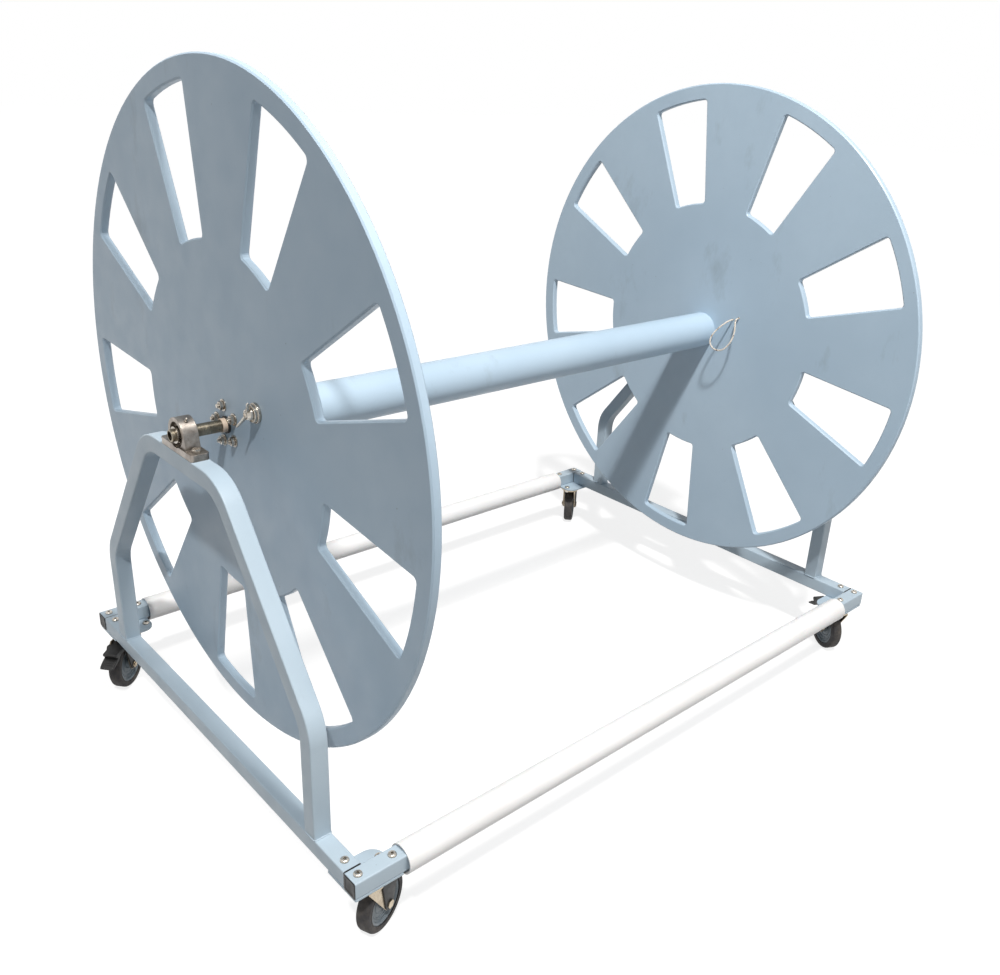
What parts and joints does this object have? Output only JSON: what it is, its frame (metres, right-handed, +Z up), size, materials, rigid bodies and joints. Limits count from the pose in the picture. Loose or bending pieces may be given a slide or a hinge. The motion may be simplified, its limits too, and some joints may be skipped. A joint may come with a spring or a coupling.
{
  "type": "pool lane marker rope reel",
  "caption": "Wheeled rope reel for pool lane markers: two slotted discs on a core tube turn in pillow blocks on a tube stand with guard rollers and braked casters.",
  "frame": {"origin": "on the floor under the middle of the reel", "axes": "+X along the axle to the disc with the rope loop, -Y to the front, +Z up"},
  "size_m": [1.8884, 1.3718, 1.5666],
  "materials": {
    "painted_tube": "satin pale blue-grey enamel",
    "painted_disc": "satin pale blue-grey board",
    "black_plastic": "matt black",
    "black_rubber": "matt black",
    "white_sleeve": "satin white",
    "stainless": "bright stainless",
    "cast_housing": "satin cast stainless",
    "axle_steel": "brushed, slightly bronzed",
    "cream_collar": "cream nylon",
    "hub_plate": "plain",
    "zinc_steel": "zinc plated",
    "wheel_hub": "grey-blue moulded",
    "wheel_tyre": "dark rubber",
    "rope": "braided off-white"
  },
  "bodies": {
    "frame": {"left_hoop": "painted_tube", "right_hoop": "painted_tube", "left_base_beam": "painted_tube", "right_base_beam": "painted_tube", "front_crossbar": "painted_tube", "rear_crossbar": "painted_tube", "front_left_gusset": "painted_tube", "front_right_gusset": "painted_tube", "rear_left_gusset": "painted_tube", "rear_right_gusset": "painted_tube", "crossbar_end_plugs": "black_plastic", "beam_end_plugs": "black_plastic", "caster_plates": "zinc_steel", "corner_bolts": "stainless", "corner_nuts": "stainless", "left_bearing_housing": "cast_housing", "right_bearing_housing": "cast_housing", "bearing_outer_rings": "stainless", "bearing_bolts": "stainless", "bearing_nuts": "stainless", "grease_nipples": "stainless"},
    "reel": {"left_disc": "painted_disc", "right_disc": "painted_disc", "core_tube": "painted_disc", "hub_plugs": "hub_plate", "axle_shaft": "axle_steel", "shaft_collars": "cream_collar", "hub_seal_rings": "black_rubber", "bearing_inner_rings": "stainless", "bearing_set_screws": "stainless", "hub_studs": "stainless", "hub_nuts": "stainless", "hub_washers": "stainless", "wing_nut": "stainless", "wing_washer": "stainless", "wing_bolt": "stainless", "rope_loop": "rope", "rope_knots": "rope"},
    "front_sleeve": {"front_sleeve": "white_sleeve"},
    "rear_sleeve": {"rear_sleeve": "white_sleeve"},
    "front_left_caster": {"front_left_caster_fork": "zinc_steel", "front_left_caster_axle": "zinc_steel"},
    "front_left_wheel": {"front_left_caster_hub": "wheel_hub", "front_left_caster_tyre": "wheel_tyre"},
    "front_left_brake": {"front_left_brake_pedal": "black_plastic"},
    "front_right_caster": {"front_right_caster_fork": "zinc_steel", "front_right_caster_axle": "zinc_steel"},
    "front_right_wheel": {"front_right_caster_hub": "wheel_hub", "front_right_caster_tyre": "wheel_tyre"},
    "front_right_brake": {"front_right_brake_pedal": "black_plastic"},
    "rear_left_caster": {"rear_left_caster_fork": "zinc_steel", "rear_left_caster_axle": "zinc_steel"},
    "rear_left_wheel": {"rear_left_caster_hub": "wheel_hub", "rear_left_caster_tyre": "wheel_tyre"},
    "rear_left_brake": {"rear_left_brake_pedal": "black_plastic"},
    "rear_right_caster": {"rear_right_caster_fork": "zinc_steel", "rear_right_caster_axle": "zinc_steel"},
    "rear_right_wheel": {"rear_right_caster_hub": "wheel_hub", "rear_right_caster_tyre": "wheel_tyre"},
    "rear_right_brake": {"rear_right_brake_pedal": "black_plastic"}
  },
  "joints": [
    {"name": "reel_spin", "type": "hinge", "parent": "frame", "child": "reel", "pos_m": [0, 0, 0.8806], "axis": [1, 0, 0], "continuous": true},
    {"name": "front_sleeve_roll", "type": "hinge", "parent": "frame", "child": "front_sleeve", "pos_m": [0, -0.59095, 0.17657], "axis": [1, 0, 0], "continuous": true},
    {"name": "rear_sleeve_roll", "type": "hinge", "parent": "frame", "child": "rear_sleeve", "pos_m": [0, 0.59095, 0.17657], "axis": [1, 0, 0], "continuous": true},
    {"name": "front_left_swivel", "type": "hinge", "parent": "frame", "child": "front_left_caster", "pos_m": [-0.829, -0.5687, 0.156], "axis": [0, 0, 1], "continuous": true},
    {"name": "front_left_wheel_spin", "type": "hinge", "parent": "front_left_caster", "child": "front_left_wheel", "pos_m": [-0.79655, -0.55559, 0.0635], "axis": [-0.3746, 0.9272, 0], "continuous": true},
    {"name": "front_left_brake_press", "type": "hinge", "parent": "front_left_caster", "child": "front_left_brake", "pos_m": [-0.78079, -0.54922, 0.1315], "axis": [-0.3746, 0.9272, 0], "range_deg": [0, 10]},
    {"name": "front_right_swivel", "type": "hinge", "parent": "frame", "child": "front_right_caster", "pos_m": [0.829, -0.5687, 0.156], "axis": [0, 0, 1], "continuous": true},
    {"name": "front_right_wheel_spin", "type": "hinge", "parent": "front_right_caster", "child": "front_right_wheel", "pos_m": [0.84543, -0.5378, 0.0635], "axis": [-0.8829, 0.4695, 0], "continuous": true},
    {"name": "front_right_brake_press", "type": "hinge", "parent": "front_right_caster", "child": "front_right_brake", "pos_m": [0.85341, -0.52279, 0.1315], "axis": [-0.8829, 0.4695, 0], "range_deg": [0, 10]},
    {"name": "rear_left_swivel", "type": "hinge", "parent": "frame", "child": "rear_left_caster", "pos_m": [-0.829, 0.5687, 0.156], "axis": [0, 0, 1], "continuous": true},
    {"name": "rear_left_wheel_spin", "type": "hinge", "parent": "rear_left_caster", "child": "rear_left_wheel", "pos_m": [-0.85581, 0.5462, 0.0635], "axis": [0.6428, -0.766, 0], "continuous": true},
    {"name": "rear_left_brake_press", "type": "hinge", "parent": "rear_left_caster", "child": "rear_left_brake", "pos_m": [-0.86883, 0.53527, 0.1315], "axis": [0.6428, -0.766, 0], "range_deg": [0, 10]},
    {"name": "rear_right_swivel", "type": "hinge", "parent": "frame", "child": "rear_right_caster", "pos_m": [0.829, 0.5687, 0.156], "axis": [0, 0, 1], "continuous": true},
    {"name": "rear_right_wheel_spin", "type": "hinge", "parent": "rear_right_caster", "child": "rear_right_wheel", "pos_m": [0.85581, 0.5912, 0.0635], "axis": [-0.6428, 0.766, 0], "continuous": true},
    {"name": "rear_right_brake_press", "type": "hinge", "parent": "rear_right_caster", "child": "rear_right_brake", "pos_m": [0.86883, 0.60213, 0.1315], "axis": [-0.6428, 0.766, 0], "range_deg": [0, 10]}
  ]
}
